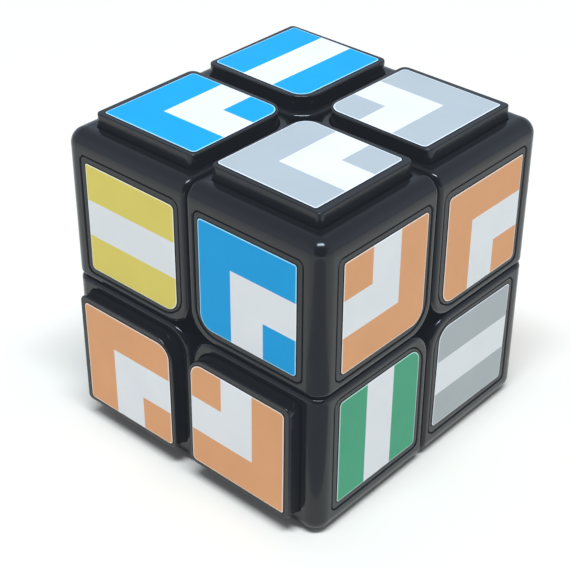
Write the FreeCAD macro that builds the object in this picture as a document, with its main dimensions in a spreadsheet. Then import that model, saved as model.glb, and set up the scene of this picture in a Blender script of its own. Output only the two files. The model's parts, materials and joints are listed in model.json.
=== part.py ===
import FreeCAD, Part
import os
import re

import Sketcher
from FreeCAD import Placement, Rotation, Vector

# A layer-turning puzzle cube, two cubies along each edge, 50 mm across.
#
# Eight corner cubies hang on a hidden core. A cubie is a hollow base and a snapped-on cap, whose
# three faces have a recessed seat each, chamfered round its mouth. One seat holds a thick tile
# that stands proud of the cube, the other two hold thin tiles, and every tile carries a sticker.
# Inside, each layer boundary depends only on the distance from the centre, so every boundary is a
# surface of revolution: flat at the middle outside ball_outer, at slot_outer between the two
# balls and at slot_inner inside ball_inner. The foot of each corner runs under the edges and
# centres, which hold it in.
#
# Every master piece is modelled about the cube's centre, the corner pieces in the octant where
# x, y and z are positive, the edge at +X+Y and the sprung centre at +X. Placed copies are turned
# from the masters and lifted by half_edge, so that the origin is the middle of the bottom face.

DIMENSIONS = [
    ("half_edge", 25.0, "half of the cube's edge"),
    ("slip", 0.15, "half of the gap between two pieces that move past each other"),
    ("outer_round", 2.5, "rounding of a cubie's three outer edges"),
    ("hole_round", 4.5, "rounding of the edges that meet at the middle of a face"),
    ("rim_round", 0.75, "rounding where a face turns into a layer boundary"),
    ("cap_thick", 3.5, "thickness of the three-faced cap"),
    ("base_wall", 1.65, "wall of the hollow base"),
    ("tab_reach", 3.0, "how far a snap tab of the cap reaches into the base"),
    ("tab_thick", 1.2, "thickness of a snap tab"),
    ("tab_low", 9.0, "start of a snap tab along its wall"),
    ("tab_high", 15.0, "end of a snap tab along its wall"),
    ("tab_slack", 0.05, "gap between a snap tab and the base's wall"),
    ("seat_depth", 1.5, "depth of the seat that a tile sits in"),
    ("tile_low", 1.6, "tile outline: side nearest the layer boundary"),
    ("tile_high", 21.55, "tile outline: side nearest the cube's outer edge"),
    ("tile_slack", 0.2, "groove between a tile and its seat"),
    ("seat_lip", 0.12, "chamfer round the mouth of a seat"),
    ("tile_inner_round", 3.9, "tile corner at the middle of the face"),
    ("tile_side_round", 1.2, "the two tile corners beside it"),
    ("tile_outer_round", 0.8, "tile corner at the cube's own corner"),
    ("flush_thick", 1.4, "thickness of a thin tile"),
    ("flush_lip", 0.1, "rounding of a thin tile's top edge"),
    ("raised_thick", 3.75, "thickness of a thick tile"),
    ("raised_lip", 0.2, "rounding of a thick tile's top edge"),
    ("sticker_low", 2.4, "sticker outline: side nearest the layer boundary"),
    ("sticker_high", 20.6, "sticker outline: side nearest the cube's outer edge"),
    ("sticker_thick", 0.1, "thickness of the vinyl"),
    ("sticker_inner_round", 2.3, "sticker corner at the middle of the face"),
    ("sticker_side_round", 0.7, "the two sticker corners beside it"),
    ("sticker_outer_round", 0.5, "sticker corner at the cube's own corner"),
    ("ball_outer", 17.5, "radius where the cubies end and the mechanism begins"),
    ("ball_inner", 13.5, "radius of the corner feet"),
    ("slot_outer", 6.5, "half width of the middle slice between the two balls"),
    ("slot_inner", 4.0, "half width of the middle slice inside the inner ball"),
    ("arm_radius", 2.4, "radius of the core's screw arms"),
    ("arm_reach", 7.5, "end of a screw arm, from the centre"),
    ("arm_slack", 0.15, "gap between an arm and the centre that turns on it"),
    ("web_outer", 9.3, "outer side of the web that the spring presses on"),
    ("chamber_radius", 3.0, "radius of the spring chamber in a centre"),
    ("screw_radius", 1.1, "radius of the screw's shank"),
    ("screw_slack", 0.02, "gap between the shank and its hole in the core"),
    ("shank_slack", 0.2, "gap between the shank and the centre's web"),
    ("screw_tip", 2.2, "inner end of a screw, from the centre"),
    ("spring_start", 9.35, "inner end of a spring"),
    ("spring_end", 13.45, "outer end of a spring"),
    ("spring_radius", 2.0, "mean radius of a spring"),
    ("spring_wire", 0.6, "diameter of the spring wire"),
    ("spring_pitch", 1.2, "pitch of a spring"),
    ("washer_start", 13.5, "inner face of a washer"),
    ("washer_thick", 0.4, "thickness of a washer"),
    ("washer_radius", 2.6, "outer radius of a washer"),
    ("head_start", 13.95, "underside of a screw head"),
    ("head_thick", 1.9, "height of a screw head"),
    ("head_radius", 2.6, "radius of a screw head"),
    ("head_round", 0.6, "rounding of a screw head's top edge"),
    ("slot_width", 0.7, "width of the driver cross"),
    ("slot_length", 3.0, "length of the driver cross"),
    ("slot_depth", 1.0, "depth of the driver cross"),
]

# Each cubie's name, its place as signs along X, Y and Z, and the face with the thick tile.
# -Y is the front, +X the right and +Z the top.
CUBIES = [
    ("front_right_top", (1, -1, 1), "Z"),
    ("front_left_top", (-1, -1, 1), "Z"),
    ("back_right_top", (1, 1, 1), "Z"),
    ("back_left_top", (-1, 1, 1), "Z"),
    ("front_right_bottom", (1, -1, -1), "Y"),
    ("front_left_bottom", (-1, -1, -1), "Y"),
    ("back_right_bottom", (1, 1, -1), "Y"),
    ("back_left_bottom", (-1, 1, -1), "Y"),
]
# Each hidden edge's name and its place; the axis with the 0 is the one that it runs along.
EDGES = [
    ("right_back_edge", (1, 1, 0)),
    ("front_right_edge", (1, -1, 0)),
    ("back_left_edge", (-1, 1, 0)),
    ("front_left_edge", (-1, -1, 0)),
    ("top_right_edge", (1, 0, 1)),
    ("right_bottom_edge", (1, 0, -1)),
    ("top_left_edge", (-1, 0, 1)),
    ("left_bottom_edge", (-1, 0, -1)),
    ("top_back_edge", (0, 1, 1)),
    ("back_bottom_edge", (0, 1, -1)),
    ("top_front_edge", (0, -1, 1)),
    ("front_bottom_edge", (0, -1, -1)),
]
# Turns that carry the +X master to each face: the sprung centres, then the three fixed pads.
SPRUNG_FACES = {
    "right": Rotation(),
    "front": Rotation(Vector(0, 0, 1), -90),
    "top": Rotation(Vector(0, 1, 0), -90),
}
FIXED_FACES = {
    "left": Rotation(Vector(0, 0, 1), 180),
    "back": Rotation(Vector(0, 0, 1), 90),
    "bottom": Rotation(Vector(0, 1, 0), 90),
}
# The three faces of the corner master, from the +Z face, by turns about the cube's diagonal.
DIAGONAL = Vector(1, 1, 1)
FACE_TURNS = {"Z": 0, "X": 120, "Y": 240}
ALONG_X = Rotation(Vector(0, 1, 0), 90)
TURNS_PER_SPAN = 0.25
AXIS_NAMES = "XYZ"
TOLERANCE = 1e-6

doc = FreeCAD.newDocument("puzzle_cube")
sheet = doc.addObject("Spreadsheet::Sheet", "dimensions")
nodes = []


def fill_sheet():
    for row, (alias, number, note) in enumerate(DIMENSIONS, start=1):
        sheet.set(f"A{row}", note)
        sheet.set(f"B{row}", str(number))
        sheet.setAlias(f"B{row}", alias)
    doc.recompute()


def expression(words):
    """Every word in the text is an alias of the sheet."""
    return re.sub(r"[a-z_]+", lambda match: "dimensions." + match.group(), words)


def bind(piece, **rules):
    for name, words in rules.items():
        piece.setExpression(name, expression(words))
    return piece


def move(piece, x="0", y="0", z="0"):
    for axis, words in zip("xyz", (x, y, z)):
        piece.setExpression(f".Placement.Base.{axis}", expression(words))
    return piece


def block(name, low, high):
    """A box from one corner to the other, each given as three expressions."""
    spans = [f"({top}) - ({bottom})" for bottom, top in zip(low, high)]
    piece = bind(doc.addObject("Part::Box", name), Length=spans[0], Width=spans[1], Height=spans[2])
    return move(piece, *low)


def ball(name, radius):
    return bind(doc.addObject("Part::Sphere", name), Radius=radius)


def rod(name, radius, start, end):
    """A cylinder along +X, from start to end."""
    piece = bind(doc.addObject("Part::Cylinder", name), Radius=radius, Height=f"({end}) - ({start})")
    piece.Placement = Placement(Vector(), ALONG_X)
    return move(piece, x=start)


def cut(name, base, tool):
    piece = doc.addObject("Part::Cut", name)
    piece.Base = base
    piece.Tool = tool
    return piece


def common(name, *shapes):
    piece = doc.addObject("Part::MultiCommon", name)
    piece.Shapes = list(shapes)
    return piece


def fuse(name, *shapes):
    piece = doc.addObject("Part::MultiFuse", name)
    piece.Shapes = list(shapes)
    piece.Refine = True
    return piece


def turned(name, source, rotation):
    """A copy that follows its source, turned about the cube's centre."""
    piece = doc.addObject("Part::Compound", name)
    piece.Links = [source]
    piece.Placement = Placement(Vector(), rotation)
    return piece


def node(name, *copies):
    """A finished sub-part, lifted so that the cube stands on the origin's plane."""
    piece = doc.addObject("Part::Compound", name)
    piece.Links = list(copies)
    piece.Label = name
    move(piece, z="half_edge")
    nodes.append(piece)
    return piece


def octant_turn(signs):
    """The rotation that carries the positive octant to the one with these signs."""
    x, y, z = signs
    if x * y * z > 0:
        return Rotation(Vector(x, 0, 0), Vector(0, y, 0), Vector(0, 0, z), "ZXY")
    return Rotation(Vector(0, y, 0), Vector(x, 0, 0), Vector(0, 0, z), "ZXY")


def master_face(signs, axis):
    """Which face of the corner master lands on the given axis in this octant."""
    x, y, z = signs
    swapped = {"X": "Y", "Y": "X", "Z": "Z"}
    return axis if x * y * z > 0 else swapped[axis]


def edge_turn(signs):
    """The rotation that carries the +X+Y edge to the one with these signs."""
    free = signs.index(0)
    about_diagonal = Rotation(DIAGONAL, {2: 0, 0: 120, 1: 240}[free])
    third = -1 if min(signs) * max(signs) < 0 else 1
    x, y, z = [sign or third for sign in signs]
    flips = Rotation(Vector(x, 0, 0), Vector(0, y, 0), Vector(0, 0, z), "ZXY")
    return flips.multiply(about_diagonal)


def origin_plane(body, role):
    return next(plane for plane in body.Origin.OriginFeatures if plane.Role == role)


def square_pad(name, low, high, bottom, height):
    """A body with one pad: a square from low to high in X and in Y, standing at bottom."""
    body = doc.addObject("PartDesign::Body", name)
    sketch = body.newObject("Sketcher::SketchObject", name + "_outline")
    sketch.AttachmentSupport = [(origin_plane(body, "XY_Plane"), "")]
    sketch.MapMode = "FlatFace"
    corners = [Vector(1, 1, 0), Vector(2, 1, 0), Vector(2, 2, 0), Vector(1, 2, 0)]
    for side in range(4):
        sketch.addGeometry(Part.LineSegment(corners[side], corners[(side + 1) % 4]), False)
    for side in range(4):
        sketch.addConstraint(Sketcher.Constraint("Coincident", side, 2, (side + 1) % 4, 1))
    for side, direction in enumerate(("Horizontal", "Vertical", "Horizontal", "Vertical")):
        sketch.addConstraint(Sketcher.Constraint(direction, side))
    places = [("low", 0, 1, 1.0, low), ("high", 1, 2, 2.0, high)]
    for label, side, point, start, words in places:
        for distance in ("DistanceX", "DistanceY"):
            index = sketch.addConstraint(Sketcher.Constraint(distance, -1, 1, side, point, start))
            sketch.renameConstraint(index, f"{label}_{distance[-1].lower()}")
            sketch.setExpression(f"Constraints[{index}]", expression(words))
    sketch.setExpression(".AttachmentOffset.Base.z", expression(bottom))
    pad = body.newObject("PartDesign::Pad", name + "_pad")
    pad.Profile = sketch
    bind(pad, Length=height)
    doc.recompute()
    return body


def dress_edges(body, kind, label, wanted, **size):
    """Give the edges of the body whose middle passes the test a fillet or a chamfer."""
    base = body.Tip
    names = [f"Edge{count}" for count, edge in enumerate(base.Shape.Edges, start=1)
             if wanted(edge.CenterOfMass)]
    feature = body.newObject("PartDesign::" + kind, f"{body.Name}_{label}")
    feature.Base = (base, names)
    bind(feature, **size)
    doc.recompute()


def round_edges(body, label, radius, wanted):
    dress_edges(body, "Fillet", label, wanted, Radius=radius)


def dimension(words):
    """The number that a sum of aliases stands for."""
    terms = re.findall(r"([+-]?)\s*([a-z_]+)", words)
    return sum((-1 if sign == "-" else 1) * sheet.get(alias) for sign, alias in terms)


def near(number, target):
    return abs(number - target) < TOLERANCE


def rounded_tile(name, low, high, bottom, height, rounds):
    """A flat square tile with its own rounding at the inner, side and outer corners."""
    body = square_pad(name, low, high, bottom, height)
    start, end = dimension(low), dimension(high)
    middle = dimension(bottom) + dimension(height) / 2
    places = {"inner": [(start, start)], "side": [(start, end), (end, start)], "outer": [(end, end)]}
    for (label, spots), radius in zip(places.items(), rounds):
        def at_corner(point, spots=spots):
            return near(point.z, middle) and any(
                near(point.x, x) and near(point.y, y) for x, y in spots)
        round_edges(body, label, radius, at_corner)
    return body


def round_top(body, radius, top):
    round_edges(body, "top", radius, lambda point: near(point.z, dimension(top)))
    return body


def make_seat(low, high, floor, rounds):
    """The cutter for a seat: the tile's outline with its slack, flared at the mouth by a chamfer."""
    hollow = rounded_tile("seat_hollow", low + " - tile_slack", high + " + tile_slack", floor,
                          "seat_depth + slip", [radius + " + tile_slack" for radius in rounds])
    mouth_floor = "half_edge - seat_lip"
    mouth = rounded_tile("seat_mouth", low + " - tile_slack - seat_lip",
                         high + " + tile_slack + seat_lip", mouth_floor, "seat_lip + slip",
                         [radius + " + tile_slack + seat_lip" for radius in rounds])
    dress_edges(mouth, "Chamfer", "flare", lambda point: near(point.z, dimension(mouth_floor)),
                Size="seat_lip")
    return fuse("seat", hollow, mouth)


def make_corner_block():
    """The octant of the cube with its roundings, before the hollow and the seats."""
    body = square_pad("corner_block", "slip", "half_edge", "slip", "half_edge - slip")
    low, high = dimension("slip"), dimension("half_edge")

    def count(point, level):
        return sum(near(value, level) for value in point)

    round_edges(body, "outer", "outer_round", lambda point: count(point, high) == 2)
    round_edges(body, "hole", "hole_round", lambda point: count(point, low) == 2)
    round_edges(body, "rim", "rim_round",
                lambda point: count(point, high) == 1 and count(point, low) == 1)
    return body


def make_corner_base(body):
    """The hollow inner half of a cubie: three walls, the bowl, and the foot on its neck."""
    split = "half_edge - cap_thick"
    low, inside = "slip", "slip + base_wall"
    inner = common("base_block", body, block("base_region", [low] * 3, [split] * 3))
    walls = cut("base_outside", inner, ball("bowl_ball", "ball_outer + slip"))
    hollow = cut("base_hollow", block("hollow_region", [inside] * 3, [split + " + tab_reach"] * 3),
                 ball("bowl_back", "ball_outer + slip + base_wall"))
    shell = cut("base_shell", walls, hollow)
    neck = common("neck", block("neck_region", ["slot_outer + slip"] * 3, ["ball_outer"] * 3),
                  ball("neck_ball", "ball_outer + base_wall"))
    foot = common("foot", block("foot_region", ["slot_inner + slip"] * 3, ["ball_outer"] * 3),
                  ball("foot_ball", "ball_inner - slip"))
    return fuse("corner_base", shell, neck, foot)


def make_corner_cap(body, seat):
    """The outer skin of a cubie, with its three seats and its six snap tabs."""
    split = "half_edge - cap_thick"
    skin = cut("cap_skin", body, block("cap_inside", ["0"] * 3, [split] * 3))
    for axis, angle in FACE_TURNS.items():
        face_seat = turned(f"seat_{axis}", seat, Rotation(DIAGONAL, angle))
        skin = cut(f"cap_cut_{axis}", skin, face_seat)
    near_wall = "slip + base_wall + tab_slack"
    far_wall = near_wall + " + tab_thick"
    tip, root = split + " - tab_reach", split + " + tab_thick"
    tab = doc.addObject("Part::Compound", "tab_pair")
    tab.Links = [
        block("tab_along_x", [tip, near_wall, "tab_low"], [root, far_wall, "tab_high"]),
        block("tab_along_z", ["tab_low", near_wall, tip], ["tab_high", far_wall, root]),
    ]
    tabs = [turned(f"tabs_{axis}", tab, Rotation(DIAGONAL, angle))
            for axis, angle in FACE_TURNS.items()]
    return fuse("corner_cap", skin, *tabs)


def make_tiles():
    """The seat cutter, the thin tile, the thick tile and the sticker, all on the +Z face."""
    low, high, floor = "tile_low", "tile_high", "half_edge - seat_depth"
    rounds = ("tile_inner_round", "tile_side_round", "tile_outer_round")
    seat = make_seat(low, high, floor, rounds)
    flush = rounded_tile("flush_tile", low, high, floor, "flush_thick", rounds)
    round_top(flush, "flush_lip", floor + " + flush_thick")
    raised = rounded_tile("raised_tile", low, high, floor, "raised_thick", rounds)
    round_top(raised, "raised_lip", floor + " + raised_thick")
    stickers = []
    for name, thick in (("flush_sticker", "flush_thick"), ("raised_sticker", "raised_thick")):
        stickers.append(rounded_tile(
            name, "sticker_low", "sticker_high", floor + " + " + thick, "sticker_thick",
            ("sticker_inner_round", "sticker_side_round", "sticker_outer_round")))
    return seat, flush, raised, stickers


def make_edge():
    """A hidden edge at +X+Y: a flange between the balls, a web, and its own foot."""
    outer, inner = "slot_outer", "slot_inner"
    flange_block = block("edge_flange_region", [outer + " + slip"] * 2 + [f"slip - {outer}"],
                         ["ball_outer"] * 2 + [outer + " - slip"])
    flange = cut("edge_flange", common("edge_flange_ball", flange_block,
                                       ball("edge_ball", "ball_outer - slip")),
                 ball("edge_inner_ball", "ball_inner + slip"))
    web = common("edge_web", block("edge_web_region", [outer + " + slip"] * 2 + [f"slip - {inner}"],
                                   ["ball_outer"] * 2 + [inner + " - slip"]),
                 ball("edge_web_ball", "ball_outer - slip"))
    foot = common("edge_foot", block("edge_foot_region", [inner + " + slip"] * 2 + [f"slip - {inner}"],
                                     ["ball_outer"] * 2 + [inner + " - slip"]),
                  ball("edge_foot_ball", "ball_inner - slip"))
    return fuse("edge", flange, web, foot)


def make_centre_solid(name, start):
    """A centre at +X: a flange between the balls on a square post that begins at start."""
    outer, inner = "slot_outer", "slot_inner"
    flange_block = block(name + "_flange_region", ["0"] + [f"slip - {outer}"] * 2,
                         ["ball_outer"] + [outer + " - slip"] * 2)
    flange = cut(name + "_flange", common(name + "_flange_ball", flange_block,
                                          ball(name + "_ball", "ball_outer - slip")),
                 ball(name + "_inner_ball", "ball_inner + slip"))
    post = common(name + "_post", block(name + "_post_region", [start] + [f"slip - {inner}"] * 2,
                                        ["ball_outer"] + [inner + " - slip"] * 2),
                  ball(name + "_post_ball", "ball_outer - slip"))
    return fuse(name, flange, post)


def make_sprung_centre():
    """The centre that turns on a core arm: bored for the arm, the screw and the spring."""
    solid = make_centre_solid("centre_solid", "slot_inner + slip")
    bores = fuse("centre_bores",
                 rod("arm_bore", "arm_radius + arm_slack", "0", "arm_reach + arm_slack"),
                 rod("shank_bore", "screw_radius + shank_slack", "0", "ball_outer"),
                 rod("spring_bore", "chamber_radius", "web_outer", "ball_outer"))
    return cut("sprung_centre", solid, bores)


def make_core():
    """The middle cube with three screw arms and the three fixed centres moulded on."""
    reach = "slot_inner - slip"
    pieces = [block("core_cube", ["slip - slot_inner"] * 3, [reach] * 3)]
    arm = rod("core_arm", "arm_radius", "0", "arm_reach")
    pad = make_centre_solid("fixed_centre", "0")
    pieces += [turned(f"arm_{face}", arm, turn) for face, turn in SPRUNG_FACES.items()]
    pieces += [turned(f"pad_{face}", pad, turn) for face, turn in FIXED_FACES.items()]
    solid = fuse("core_solid", *pieces)
    hole = rod("screw_hole", "screw_radius + screw_slack", "screw_tip", "ball_inner")
    for face, turn in SPRUNG_FACES.items():
        solid = cut(f"core_bored_{face}", solid, turned(f"hole_{face}", hole, turn))
    return solid


def make_screw():
    """A pan-head screw along +X with a driver cross in its head."""
    shank = rod("shank", "screw_radius", "screw_tip", "head_start + head_round")
    head = doc.addObject("Part::Fillet", "screw_head")
    head.Base = rod("head_blank", "head_radius", "head_start", "head_start + head_thick")
    doc.recompute()
    top = dimension("head_start + head_thick")
    lips = [count for count, edge in enumerate(head.Base.Shape.Edges, start=1)
            if near(edge.BoundBox.XMin, top) or near(edge.CenterOfMass.x, top)]
    head.Edges = [(count, dimension("head_round"), dimension("head_round")) for count in lips]
    wide, long = "slot_width / 2", "slot_length / 2"
    bottom, above = "head_start + head_thick - slot_depth", "head_start + head_thick + slip"
    cross = fuse("driver_cross",
                 block("cross_y", [bottom, "0 - " + long, "0 - " + wide], [above, long, wide]),
                 block("cross_z", [bottom, "0 - " + wide, "0 - " + long], [above, wide, long]))
    return cut("screw", fuse("screw_blank", shank, head), cross)


def make_spring():
    """A compression spring along +X, between the centre's web and the washer."""
    helix = bind(doc.addObject("Part::Helix", "spring_line"), Radius="spring_radius",
                 Pitch="spring_pitch", Height="spring_end - spring_start - spring_wire")
    helix.SegmentLength = TURNS_PER_SPAN
    section = bind(doc.addObject("Part::Circle", "wire_section"), Radius="spring_wire / 2")
    section.Placement = Placement(Vector(), Rotation(Vector(1, 0, 0), 90))
    move(section, x="spring_radius")
    wire = doc.addObject("Part::Sweep", "spring_wire_sweep")
    wire.Sections = [section]
    wire.Spine = (helix, [])
    wire.Solid = True
    wire.Frenet = True
    spring = doc.addObject("Part::Compound", "spring")
    spring.Links = [wire]
    spring.Placement = Placement(Vector(), ALONG_X)
    return move(spring, x="spring_start + spring_wire / 2")


def make_washer():
    end = "washer_start + washer_thick"
    disc = rod("washer_disc", "washer_radius", "washer_start", end)
    hole = rod("washer_hole", "screw_radius + shank_slack", "washer_start - slip", end + " + slip")
    return cut("washer", disc, hole)


def place_cubies():
    """Five sub-parts for each of the eight cubies."""
    seat, flush, raised, (flush_sticker, raised_sticker) = make_tiles()
    body = make_corner_block()
    base, cap = make_corner_base(body), make_corner_cap(body, seat)
    for name, signs, raised_axis in CUBIES:
        octant = octant_turn(signs)
        raised_face = master_face(signs, raised_axis)

        def on_face(source, axis):
            spin = octant.multiply(Rotation(DIAGONAL, FACE_TURNS[axis]))
            return turned(f"{name}_{source.Name}_{axis}", source, spin)

        thin = [axis for axis in AXIS_NAMES if axis != raised_face]
        node(f"{name}_base", turned(f"{name}_turned_base", base, octant))
        node(f"{name}_cap", turned(f"{name}_turned_cap", cap, octant))
        node(f"{name}_raised_tile", on_face(raised, raised_face))
        node(f"{name}_flush_tiles", *[on_face(flush, axis) for axis in thin])
        node(f"{name}_stickers", on_face(raised_sticker, raised_face),
             *[on_face(flush_sticker, axis) for axis in thin])


def place_mechanism():
    node("core", turned("core_turned", make_core(), Rotation()))
    edge, centre = make_edge(), make_sprung_centre()
    for name, signs in EDGES:
        node(name, turned(name + "_turned", edge, edge_turn(signs)))
    for face, turn in SPRUNG_FACES.items():
        node(f"{face}_centre", turned(f"{face}_centre_turned", centre, turn))
    hardware = {"tension_screws": make_screw(), "tension_springs": make_spring(),
                "tension_washers": make_washer()}
    for name, source in hardware.items():
        node(name, *[turned(f"{name}_{face}", source, turn) for face, turn in SPRUNG_FACES.items()])


def check_and_write():
    doc.recompute()
    for piece in doc.Objects:
        if "Invalid" in piece.State or "Error" in piece.State:
            raise RuntimeError(f"{piece.Label} did not build: {piece.State}")
    os.makedirs("parts", exist_ok=True)
    for piece in nodes:
        shape = piece.Shape
        if shape.isNull() or not shape.isValid() or not shape.Solids:
            raise RuntimeError(f"{piece.Label} has no valid solid")
        print(f"{piece.Label:34} {len(shape.Solids)} solids  {shape.Volume:9.2f} mm3")
        shape.exportStep(f"parts/{piece.Label}.step")


fill_sheet()
place_cubies()
place_mechanism()
check_and_write()
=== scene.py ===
import json
import math

import bmesh
import bpy
from mathutils import Matrix, Vector


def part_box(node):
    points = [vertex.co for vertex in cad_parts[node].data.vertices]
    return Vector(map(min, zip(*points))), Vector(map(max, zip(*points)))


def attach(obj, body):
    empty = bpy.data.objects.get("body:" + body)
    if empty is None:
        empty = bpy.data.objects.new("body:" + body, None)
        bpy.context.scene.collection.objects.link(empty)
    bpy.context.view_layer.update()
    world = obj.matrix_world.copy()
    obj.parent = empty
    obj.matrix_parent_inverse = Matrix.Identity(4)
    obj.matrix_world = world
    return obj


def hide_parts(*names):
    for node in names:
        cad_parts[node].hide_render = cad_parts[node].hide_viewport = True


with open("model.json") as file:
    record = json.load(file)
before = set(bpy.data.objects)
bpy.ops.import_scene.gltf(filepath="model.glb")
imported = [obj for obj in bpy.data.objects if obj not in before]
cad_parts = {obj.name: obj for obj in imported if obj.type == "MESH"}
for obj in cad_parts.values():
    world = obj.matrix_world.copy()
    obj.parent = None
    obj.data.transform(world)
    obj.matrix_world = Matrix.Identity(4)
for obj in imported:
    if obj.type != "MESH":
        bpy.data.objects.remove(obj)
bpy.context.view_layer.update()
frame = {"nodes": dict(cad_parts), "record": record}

# A layer-turning puzzle cube in glossy black plastic. The CAD caps, bases, tiles and mechanism
# stay and get moulded-plastic and metal materials. Each group of CAD stickers is replaced by
# pieces of printed vinyl: a coloured ground crossed by a white path, a third of the sticker wide,
# that runs straight across or turns once. Sizes of the cube are in millimetres and become metres
# through MM; those of the room and the light are in metres. -Y is the front, +X the right.

MM = 0.001


def box_mm(node):
    return [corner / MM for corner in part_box(node)]


# The die-cut outline: half of its side, its corners, the sloping rim where the knife pressed the
# edge down, and the dark backing that spreads out round it as a thin line, partly the sticker's backing
# and partly a painted shadow line along its edge
STICKER_HALF = 9.1
STICKER_INNER_ROUND = 2.3
STICKER_SIDE_ROUND = 0.7
STICKER_OUTER_ROUND = 0.4
RIM_WIDTH = 0.18
RIM_DROP = 0.03
SHADOW_LINE_SPREAD = 0.13
BACKING_AND_SHADOW_THICK = 0.02
PATH_HALF = STICKER_HALF / 3
ARC_STEPS = 10
TINY = 1e-6

# Levels, all read from the frame at the front right top cubie
CAP_HIGH = box_mm("front_right_top_cap")[1]
TILE_HIGH = box_mm("front_right_top_raised_tile")[1]
VINYL_LOW, VINYL_HIGH = box_mm("front_right_top_stickers")
HALF_EDGE = CAP_HIGH.x
CENTRE = Vector((0.0, 0.0, CAP_HIGH.z - HALF_EDGE))
FLUSH_LEVEL = box_mm("front_right_top_flush_tiles")[1].x
RAISED_LEVEL = TILE_HIGH.z - CENTRE.z
STICKER_THICK = VINYL_HIGH.z - TILE_HIGH.z
STICKER_MIDDLE = VINYL_LOW.x + STICKER_HALF

# Camera: the photograph's viewing angle, in degrees, and its distance, lens and sensor width in
# millimetres
AZIMUTH = 40.93
ELEVATION = 32.77
ROLL = 0.69
DISTANCE = 224.2
LENS = 90.442
SENSOR = 36.0
SHIFT = (-0.0314, -0.0337)

AXES = {"x": Vector((1, 0, 0)), "y": Vector((0, 1, 0)), "z": Vector((0, 0, 1))}

# One row for each sticker: the cubie, the axis that its face looks along, the ground colour, the
# two sides where the white path leaves, and how far it was stuck off its place: a shift along
# the face's two axes in millimetres, and a turn in degrees.
FACELETS = [
    ("front_right_top", "z", "grey", "+y+x", -0.3, -0.15, -0.6),
    ("front_left_top", "z", "blue", "+y+x", 0.2, -0.15, 0.1),
    ("back_right_top", "z", "grey", "-x-y", 0.0, -0.2, -0.7),
    ("back_left_top", "z", "blue", "+y-y", -0.1, 0.1, -0.7),
    ("front_left_top", "y", "yellow", "-x+x", 0.0, 0.0, -0.3),
    ("front_right_top", "y", "blue", "+x-z", 0.0, 0.1, -0.1),
    ("front_left_bottom", "y", "orange", "+x-z", 0.15, -0.15, 0.0),
    ("front_right_bottom", "y", "orange", "-x+z", -0.1, -0.2, -0.4),
    ("front_right_top", "x", "orange", "+z-y", 0.1, 0.1, -0.1),
    ("back_right_top", "x", "orange", "+y-z", 0.2, -0.1, 0.0),
    ("front_right_bottom", "x", "green", "+z-z", 0.0, 0.05, -0.3),
    ("back_right_bottom", "x", "grey", "-y+y", 0.0, 0.15, -1.0),
    ("front_left_top", "x", "red", "-y-z", 0.1, 0.0, 0.4),
    ("back_left_top", "x", "red", "+y-y", -0.1, 0.1, -0.2),
    ("front_left_bottom", "x", "blue", "+z+y", 0.0, -0.1, 0.3),
    ("back_left_bottom", "x", "yellow", "+y+z", 0.15, 0.1, -0.5),
    ("back_right_top", "y", "green", "-x+x", -0.1, 0.0, 0.2),
    ("back_left_top", "y", "grey", "+z-x", 0.1, 0.1, -0.4),
    ("back_right_bottom", "y", "red", "+x+z", 0.0, -0.15, 0.5),
    ("back_left_bottom", "y", "red", "-x+x", -0.15, 0.0, -0.2),
    ("front_right_bottom", "z", "yellow", "-x+x", 0.1, -0.1, 0.3),
    ("front_left_bottom", "z", "yellow", "+y-y", 0.0, 0.1, -0.3),
    ("back_right_bottom", "z", "green", "-y-x", -0.1, 0.0, 0.6),
    ("back_left_bottom", "z", "green", "-y+x", 0.1, 0.15, 0.0),
]
RAISED_AXIS = {"top": "z", "bottom": "y"}
FACE_NAMES = {("x", 1): "right", ("x", -1): "left", ("y", 1): "back", ("y", -1): "front",
              ("z", 1): "top", ("z", -1): "bottom"}
BODY_OF = {node: body for body, members in frame["record"]["behaviour"]["bodies"].items()
           for node in members}
SLOT_OF = {row["node"]: row["material_slot"] for row in frame["record"]["subparts"]}
SMOOTH_ANGLE = math.radians(28)

# The material slots of each sticker's mesh; the two edge slots hold a paler ink that is partly a
# painted highlight, and the backing slot also makes a painted shadow line round the sticker
GROUND, PATH, GROUND_EDGE_AND_HIGHLIGHT, PATH_EDGE_AND_HIGHLIGHT, BACKING_AND_SHADOW = range(5)

# Colours are 0-255 display values. A plastic has a fresh tone, a rubbed tone, a roughness and a
# specular level; a metal has a colour and a roughness.
GLOSSY = ((18, 18, 19), (52, 53, 55), 0.15, 0.36)
PLASTICS = {
    "cap_plastic": GLOSSY,
    "tile_plastic": GLOSSY,
    # The bases are paler than the caps' black: painted light that brightens the shade inside the holes
    # in the faces, where the bases show
    "base_plastic": ((38, 39, 41), (58, 59, 61), 0.34, 0.35),
    "mechanism_plastic": ((52, 53, 55), (80, 81, 83), 0.45, 0.4),
}
METALS = {"screw_steel": ((190, 190, 188), 0.3), "spring_steel": ((170, 172, 175), 0.35)}
# A dark tone for the sticker's backing, and for the ledge round it that is a painted shadow line
BACKING_AND_SHADOW_TONE = (14, 14, 15)
INKS = {
    "grey": (180, 184, 182), "blue": (0, 160, 219), "orange": (230, 164, 112),
    "yellow": (231, 210, 100), "green": (72, 165, 123), "red": (205, 62, 54),
    "white": (235, 234, 231),
}
# How much paler the cut-edge rim is: partly the ink thinning at the cut, partly a painted highlight
# along each sticker's edge
EDGE_INK_AND_HIGHLIGHT_PALENESS = 0.65
MOTTLE_SHADE = 0.95

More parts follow.
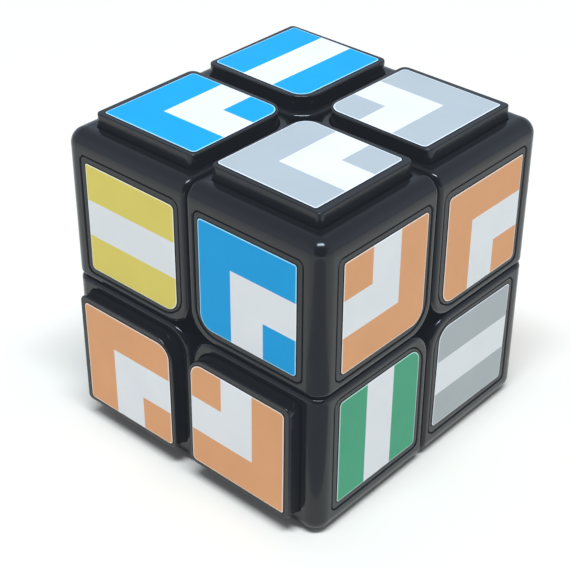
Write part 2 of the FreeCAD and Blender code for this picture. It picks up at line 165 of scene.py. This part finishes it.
# Noise scales, as features per metre, and the depth of each bump in metres
CLOUD_SCALE, CLOUD_DEPTH = 90.0, 0.0002
GRAIN_SCALE, GRAIN_DEPTH = 5200.0, 0.00003
RUB_SCALE = 700.0
SCRATCHES = ((420.0, (1.0, 0.06, 0.5), 0.62), (380.0, (0.07, 1.0, 0.4), 0.63))
MOTTLE_SCALE = 140.0
GLOSS_SCALE = 260.0
PEEL_SCALE, PEEL_DEPTH = 1400.0, 0.00004
WAVE_SCALE, WAVE_DEPTH = 160.0, 0.0003
BRUSH_SCALE = 1800.0
NOISE_BAND = (0.3, 0.7)

# Wear: how far around it a bevel looks for an edge, in metres, the turns of its normal that count
# as flat and as edge, the noise at which rubbing starts and is full, and what wear adds
EDGE_REACH, EDGE_BAND = 0.0005, (0.02, 0.25)
RUB_BAND, RUB_SHARE, RUB_ROUGHNESS = (0.42, 0.62), 0.5, 0.12
SCRATCH_BAND, SCRATCH_ROUGHNESS = 0.12, 0.10


# ---------------------------------------------------------------- materials

def linear(red, green, blue):
    """A colour given as 0-255 display values, as the shader wants it."""
    shares = [value / 255 for value in (red, green, blue)]
    return tuple(share / 12.92 if share <= 0.04045 else ((share + 0.055) / 1.055) ** 2.4
                 for share in shares) + (1.0,)


class Shader:
    """A material with a Principled shader and short calls for the nodes that feed it."""

    def __init__(self, name):
        self.material = bpy.data.materials.new(name)
        self.material.use_nodes = True
        self.tree = self.material.node_tree
        self.surface = self.tree.nodes["Principled BSDF"]
        place = self.tree.nodes.new("ShaderNodeTexCoord")
        self.place = place.outputs["Object"]

    def node(self, kind, settings=None, **sockets):
        made = self.tree.nodes.new("ShaderNode" + kind)
        for key, value in (settings or {}).items():
            setattr(made, key, value)
        for key, value in sockets.items():
            self.plug(value, made.inputs[key.replace("_", " ")])
        return made

    def plug(self, value, socket):
        if isinstance(value, bpy.types.NodeSocket):
            self.tree.links.new(value, socket)
        else:
            socket.default_value = value

    def noise(self, scale, detail=2.0, stretch=None):
        """Noise of the given scale per metre, perhaps stretched along one axis."""
        place = self.place
        if stretch:
            place = self.node("Mapping", Vector=place, Scale=stretch).outputs["Vector"]
        return self.node("TexNoise", Vector=place, Scale=scale, Detail=detail).outputs["Fac"]

    def ramp(self, value, low, high, out_low, out_high):
        made = self.node("MapRange", Value=value)
        for name, number in (("From Min", low), ("From Max", high),
                             ("To Min", out_low), ("To Max", out_high)):
            made.inputs[name].default_value = number
        return made.outputs["Result"]

    def math(self, operation, first, second):
        made = self.node("Math", {"operation": operation})
        self.plug(first, made.inputs[0])
        self.plug(second, made.inputs[1])
        return made.outputs[0]

    def blend(self, factor, first, second):
        made = self.node("Mix", {"data_type": "RGBA"})
        self.plug(factor, made.inputs[0])
        self.plug(first, made.inputs[6])
        self.plug(second, made.inputs[7])
        return made.outputs[2]

    def bumps(self, layers):
        """Bump nodes in a chain; each layer is a height, a strength and a depth in metres."""
        normal = None
        for height, strength, depth in layers:
            made = self.node("Bump", Height=height, Strength=strength, Distance=depth)
            if normal:
                self.plug(normal, made.inputs["Normal"])
            normal = made.outputs["Normal"]
        self.plug(normal, self.surface.inputs["Normal"])

    def edge_mask(self, radius, low, high):
        """0 on flat stretches and 1 along edges, from how far a bevel would turn the normal."""
        bevel = self.node("Bevel", {"samples": 4}, Radius=radius)
        plain = self.node("NewGeometry")
        dot = self.node("VectorMath", {"operation": "DOT_PRODUCT"})
        self.plug(bevel.outputs["Normal"], dot.inputs[0])
        self.plug(plain.outputs["Normal"], dot.inputs[1])
        return self.ramp(dot.outputs["Value"], 1.0 - low, 1.0 - high, 0.0, 1.0)

    def set(self, **sockets):
        for key, value in sockets.items():
            self.plug(value, self.surface.inputs[key.replace("_", " ")])


def moulded_plastic(name, fresh, worn, roughness, gloss):
    """Black injection-moulded plastic: fine mould grain, flow variation, rubbed edges."""
    shader = Shader(name)
    cloud = shader.noise(CLOUD_SCALE, 3.0)
    grain = shader.noise(GRAIN_SCALE, 2.0)
    scratches = [(shader.noise(scale, 1.0, stretch), start) for scale, stretch, start in SCRATCHES]
    rubbed = shader.math("MULTIPLY", shader.edge_mask(EDGE_REACH, *EDGE_BAND),
                         shader.ramp(shader.noise(RUB_SCALE, 4.0), *RUB_BAND, 0.0, 1.0))
    paled = shader.math("MULTIPLY", rubbed, RUB_SHARE)
    shader.set(Base_Color=shader.blend(paled, linear(*fresh), linear(*worn)),
               Specular_IOR_Level=gloss, IOR=1.5)
    base = shader.ramp(cloud, *NOISE_BAND, roughness - 0.03, roughness + 0.04)
    marks = shader.math("MAXIMUM", *[
        shader.ramp(noise, start, start + SCRATCH_BAND, 0.0, SCRATCH_ROUGHNESS)
        for noise, start in scratches])
    rough = shader.math("ADD", shader.math("ADD", base, marks),
                        shader.math("MULTIPLY", rubbed, RUB_ROUGHNESS))
    shader.set(Roughness=rough)
    shader.bumps([(grain, 0.06, GRAIN_DEPTH), (cloud, 0.10, CLOUD_DEPTH)])
    return shader.material


def printed_vinyl(name, colour, roughness=0.42):
    """Printed and laminated vinyl: an even colour with faint mottling and orange peel."""
    shader = Shader(name)
    mottle = shader.ramp(shader.noise(MOTTLE_SCALE, 4.0), *NOISE_BAND, 0.0, 1.0)
    ink = linear(*colour)
    darker = tuple(share * MOTTLE_SHADE for share in ink[:3]) + (1.0,)
    shader.set(Base_Color=shader.blend(mottle, ink, darker), IOR=1.46, Specular_IOR_Level=0.10,
               Roughness=shader.ramp(shader.noise(GLOSS_SCALE, 3.0), *NOISE_BAND,
                                     roughness - 0.05, roughness + 0.06))
    shader.bumps([(shader.noise(PEEL_SCALE, 2.0), 0.06, PEEL_DEPTH),
                  (shader.noise(WAVE_SCALE, 1.0), 0.05, WAVE_DEPTH)])
    return shader.material


def paler_ink_and_highlight(colour):
    """The ink as it thins out over the white vinyl at the cut edge, partly real thinning and partly a
    painted highlight along the sticker's edge.
    """
    return [value + (255 - value) * EDGE_INK_AND_HIGHLIGHT_PALENESS for value in colour]


def plain_metal(name, colour, roughness):
    shader = Shader(name)
    brushed = shader.noise(BRUSH_SCALE, 2.0, (1.0, 1.0, 0.2))
    shader.set(Base_Color=linear(*colour), Metallic=1.0,
               Roughness=shader.ramp(brushed, *NOISE_BAND, roughness - 0.06, roughness + 0.08))
    shader.bumps([(brushed, 0.08, GRAIN_DEPTH)])
    return shader.material


# ---------------------------------------------------------------- stickers

def rounded_outline(corner_rounds):
    """Points round a square of the sticker's size; rounds go by the signs of their corner."""
    points = []
    for start, (p, q) in enumerate(((1, 1), (-1, 1), (-1, -1), (1, -1))):
        radius = corner_rounds[(p, q)]
        middle = Vector((p, q)) * (STICKER_HALF - radius)
        for step in range(ARC_STEPS + 1):
            angle = math.radians(90 * (start + step / ARC_STEPS))
            points.append(middle + radius * Vector((math.cos(angle), math.sin(angle))))
    return points


def path_cell(place):
    """Which third of the sticker a place lies in, from -1 to 1."""
    return 0 if abs(place) < PATH_HALF else int(math.copysign(1, place))


def extrude_border(mesh, level, spread):
    """Carry the open border down to a level, at a distance outside the sticker's outline."""
    border = [edge for edge in mesh.edges if edge.is_boundary]
    added = bmesh.ops.extrude_edge_only(mesh, edges=border)["geom"]
    scale = (STICKER_HALF + spread) / max(abs(edge.verts[0].co.x) for edge in border)
    for vert in [piece for piece in added if isinstance(piece, bmesh.types.BMVert)]:
        vert.co = (vert.co.x * scale, vert.co.y * scale, level)
    return [piece for piece in added if isinstance(piece, bmesh.types.BMFace)]


def sticker_mesh(name, corner_rounds, exits):
    """A flat sticker about its own middle, its printed regions split along the path's sides."""
    mesh = bmesh.new()
    level = STICKER_THICK - RIM_DROP
    mesh.faces.new([mesh.verts.new((*point, level)) for point in rounded_outline(corner_rounds)])
    for normal in (AXES["x"], AXES["y"]):
        for side in (-PATH_HALF, PATH_HALF):
            bmesh.ops.bisect_plane(mesh, geom=mesh.verts[:] + mesh.edges[:] + mesh.faces[:],
                                   plane_co=normal * side, plane_no=normal)
    cells = {(0, 0)} | set(exits)
    printed = mesh.faces[:]
    for face in printed:
        middle = face.calc_center_median()
        inside = (path_cell(middle.x), path_cell(middle.y)) in cells
        face.material_index = PATH if inside else GROUND
    rim = bmesh.ops.inset_region(mesh, faces=printed, thickness=RIM_WIDTH,
                                 depth=RIM_DROP, use_even_offset=True, use_boundary=True)["faces"]
    walls_and_shadow_line = []
    # The side wall and a ledge spread round the outline take the backing's dark tone: a painted shadow
    # line along the sticker's edge
    for height, spread in ((BACKING_AND_SHADOW_THICK, 0.0), (BACKING_AND_SHADOW_THICK, SHADOW_LINE_SPREAD),
                           (0.0, SHADOW_LINE_SPREAD)):
        walls_and_shadow_line += extrude_border(mesh, height, spread)
    bmesh.ops.holes_fill(mesh, edges=[edge for edge in mesh.edges if edge.is_boundary], sides=0)
    backing = [face for face in mesh.faces if face.calc_center_median().z < TINY]
    for face in walls_and_shadow_line + backing:
        face.material_index = BACKING_AND_SHADOW
    # The sloping rim takes the paler edge ink, which is partly a painted highlight
    for face in rim:
        beside = [other for edge in face.edges for other in edge.link_faces if other in printed]
        face.material_index = PATH_EDGE_AND_HIGHLIGHT if beside[0].material_index == PATH else GROUND_EDGE_AND_HIGHLIGHT
    bmesh.ops.recalc_face_normals(mesh, faces=mesh.faces[:])
    data = bpy.data.meshes.new(name)
    mesh.to_mesh(data)
    mesh.free()
    return data


def cubie_signs(cubie):
    depth, side, height = cubie.split("_")
    return {"x": 1 if side == "right" else -1, "y": 1 if depth == "back" else -1,
            "z": 1 if height == "top" else -1}


def place_sticker(cubie, axis, colour, path, shift_one, shift_two, turn):
    """One sticker on its tile, riding with its cubie."""
    signs = cubie_signs(cubie)
    first, second = [letter for letter in "xyz" if letter != axis]
    exits = []
    for sign, letter in zip(path[0::2], path[1::2]):
        step = 1 if sign == "+" else -1
        exits.append((step, 0) if letter == first else (0, step))
    outer = Vector((signs[first], signs[second]))
    by_corner = {2: STICKER_OUTER_ROUND, 0: STICKER_SIDE_ROUND, -2: STICKER_INNER_ROUND}
    rounds = {(p, q): by_corner[p * outer.x + q * outer.y] for p in (-1, 1) for q in (-1, 1)}
    name = f"{cubie}_sticker_{FACE_NAMES[(axis, signs[axis])]}"
    data = sticker_mesh(name, rounds, exits)
    raised = RAISED_AXIS[cubie.split("_")[2]] == axis
    outward = AXES[axis] * signs[axis]
    columns = (AXES[first], AXES[second], outward)
    face = Matrix([[column[row] for column in columns] for row in range(3)]).to_4x4()
    spot = CENTRE + outward * (RAISED_LEVEL if raised else FLUSH_LEVEL)
    spot += AXES[first] * (signs[first] * STICKER_MIDDLE + shift_one)
    spot += AXES[second] * (signs[second] * STICKER_MIDDLE + shift_two)
    spin = Matrix.Rotation(math.radians(turn), 4, "Z")
    data.transform(Matrix.Scale(MM, 4) @ Matrix.Translation(spot) @ face @ spin)
    if face.determinant() < 0:
        data.flip_normals()
    for material in (VINYL[colour], VINYL["white"], EDGE_INKS_AND_HIGHLIGHTS[colour], EDGE_INKS_AND_HIGHLIGHTS["white"], BACKING_AND_SHADOW_BLACK):
        data.materials.append(material)
    piece = bpy.data.objects.new(name, data)
    bpy.context.scene.collection.objects.link(piece)
    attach(piece, BODY_OF[f"{cubie}_stickers"])
    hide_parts(f"{cubie}_stickers")


def finish_frame():
    """Materials and smooth shading for the CAD nodes that stay."""
    finishes = {name: moulded_plastic(name, *look) for name, look in PLASTICS.items()}
    finishes.update({name: plain_metal(name, *look) for name, look in METALS.items()})
    for name, piece in frame["nodes"].items():
        if SLOT_OF[name] in finishes:
            piece.data.materials.clear()
            piece.data.materials.append(finishes[SLOT_OF[name]])
            piece.data.shade_smooth()
            piece.data.set_sharp_from_angle(angle=SMOOTH_ANGLE)


VINYL = {name: printed_vinyl("vinyl_" + name, colour) for name, colour in INKS.items()}
# Paler vinyl for the cut-edge rims: the ink thinning at the cut, and a painted highlight
EDGE_INKS_AND_HIGHLIGHTS = {name: printed_vinyl("vinyl_edge_and_highlight_" + name, paler_ink_and_highlight(colour)) for name, colour in INKS.items()}
# Dark vinyl for the backing, which also paints a shadow line round each sticker
BACKING_AND_SHADOW_BLACK = printed_vinyl("vinyl_backing_and_shadow_line", BACKING_AND_SHADOW_TONE, 0.6)
finish_frame()
for row in FACELETS:
    place_sticker(*row)


# ---------------------------------------------------------------- stage, light and camera

# Brightness of the room by height, as the Z of the direction, and of the opening behind the
# camera, as the cosine of the angle from the camera's direction
COOL = (0.86, 1.0, 1.19)
WALL_LEVEL, WALL_TOP = 0.72, 0.35
CEILING_LEVEL, CEILING_START = 0.42, 0.8
DARK_LEVEL = 0.03
OPENING_RIM = (0.74, 0.80)

KEY_DIRECTION = Vector((0.188, -0.201, 0.961))
KEY_DISTANCE = 2.5
KEY_SIZE = (1.6, 0.4)
KEY_LEVEL = 1.05
# The grey card in front of the cube is a painted shadow on the floor, seen only in the plastic's
# reflections
SHADE_CARD_SIZE = (0.08, 0.17)
SHADE_CARD_START = 0.006
SHADE_CARD_HEIGHT = 0.001
SHADE_CARD_TINT = (0.40, 0.38, 0.36, 1.0)
FLOOR_HALF = 4.0
FLOOR_TINT = (0.90, 0.805, 0.672, 1.0)
GLARE = (0.0115, 0.0135, 0.0165)


def camera_side():
    """The direction from the cube to the camera, in the frame's axes."""
    azimuth, elevation = math.radians(AZIMUTH), math.radians(ELEVATION)
    return Vector((math.sin(azimuth) * math.cos(elevation),
                   -math.cos(azimuth) * math.cos(elevation), math.sin(elevation)))


def look_at(position, target, roll=0.0):
    """The place of a camera or light at a position, turned to face a target."""
    turn = (target - position).to_track_quat("-Z", "Y").to_matrix().to_4x4()
    return Matrix.Translation(position) @ turn @ Matrix.Rotation(roll, 4, "Z")


def matt_square(name, half_side, segments, material, tint):
    """A flat square of matt card about the origin, for the stage."""
    mesh = bmesh.new()
    bmesh.ops.create_grid(mesh, x_segments=segments, y_segments=segments, size=half_side)
    data = bpy.data.meshes.new(name)
    mesh.to_mesh(data)
    mesh.free()
    shader = Shader(material)
    shader.set(Base_Color=tint, Roughness=0.9, Specular_IOR_Level=0.1)
    data.materials.append(shader.material)
    square = bpy.data.objects.new(name, data)
    bpy.context.scene.collection.objects.link(square)
    return square


def add_floor():
    floor = matt_square("floor", FLOOR_HALF, 8, "floor_paper", FLOOR_TINT)


def add_key_light():
    """A wide softbox overhead, whose level is the brightness that it gives a white card."""
    light = bpy.data.lights.new("key_softbox", "AREA")
    light.shape = "RECTANGLE"
    light.size, light.size_y = KEY_SIZE
    light.energy = KEY_LEVEL * (math.pi * KEY_DISTANCE) ** 2
    light.color = COOL
    softbox = bpy.data.objects.new("key_softbox", light)
    softbox.matrix_world = look_at(CENTRE * MM + KEY_DIRECTION.normalized() * KEY_DISTANCE, CENTRE * MM)
    bpy.context.scene.collection.objects.link(softbox)


def add_room():
    """Pale walls and a dimmer ceiling, with a dark opening behind the camera."""
    world = bpy.data.worlds.new("studio")
    world.use_nodes = True
    tree = world.node_tree

    def map_range(value, *numbers):
        made = tree.nodes.new("ShaderNodeMapRange")
        tree.links.new(value, made.inputs["Value"])
        for name, number in zip(("From Min", "From Max", "To Min", "To Max"), numbers):
            made.inputs[name].default_value = number
        return made.outputs["Result"]

    place = tree.nodes.new("ShaderNodeTexCoord").outputs["Generated"]
    split = tree.nodes.new("ShaderNodeSeparateXYZ")
    tree.links.new(place, split.inputs[0])
    dot = tree.nodes.new("ShaderNodeVectorMath")
    dot.operation = "DOT_PRODUCT"
    dot.inputs[1].default_value = camera_side()
    tree.links.new(place, dot.inputs[0])
    height = map_range(split.outputs["Z"], WALL_TOP, CEILING_START, WALL_LEVEL, CEILING_LEVEL)
    opening = map_range(dot.outputs["Value"], *OPENING_RIM, 1.0, DARK_LEVEL)
    level = tree.nodes.new("ShaderNodeMath")
    level.operation = "MULTIPLY"
    tree.links.new(height, level.inputs[0])
    tree.links.new(opening, level.inputs[1])
    background = tree.nodes["Background"]
    background.inputs["Color"].default_value = (*COOL, 1.0)
    tree.links.new(level.outputs[0], background.inputs["Strength"])
    bpy.context.scene.world = world


def add_shade_card():
    """A grey card that lies in front of the cube and is seen only in the plastic's reflections: a
    painted shadow on the floor there, which darkens what the plastic reflects.
    """
    shade_card = matt_square("shade_card", 0.5, 2, "painted_shade_card", SHADE_CARD_TINT)
    toward = Vector((camera_side().x, camera_side().y, 0.0)).normalized()
    reach = HALF_EDGE * MM * math.sqrt(2) + SHADE_CARD_START + SHADE_CARD_SIZE[1] / 2
    width = Matrix.Diagonal((SHADE_CARD_SIZE[0], SHADE_CARD_SIZE[1], 1.0, 1.0))
    heading = Matrix.Rotation(math.radians(AZIMUTH), 4, "Z")
    spot = toward * reach + Vector((0, 0, SHADE_CARD_HEIGHT))
    shade_card.matrix_world = Matrix.Translation(spot) @ heading @ width
    shade_card.visible_camera = shade_card.visible_diffuse = shade_card.visible_shadow = False


def add_camera():
    camera = bpy.data.cameras.new("camera")
    camera.sensor_width = SENSOR
    camera.lens = LENS
    camera.shift_x, camera.shift_y = SHIFT
    camera.clip_start = 0.01
    holder = bpy.data.objects.new("camera", camera)
    place = (CENTRE + camera_side() * DISTANCE) * MM
    holder.matrix_world = look_at(place, CENTRE * MM, math.radians(ROLL))
    bpy.context.scene.collection.objects.link(holder)
    bpy.context.scene.camera = holder


def set_lens_glare():
    """The pale surround scatters a little light over the whole picture, which lifts the blacks."""
    settings = bpy.context.scene.view_settings
    settings.view_transform = "Standard"
    settings.use_curve_mapping = True
    settings.curve_mapping.black_level = [-share for share in GLARE]
    settings.curve_mapping.update()


add_floor()
add_room()
add_key_light()
add_shade_card()
add_camera()
set_lens_glare()
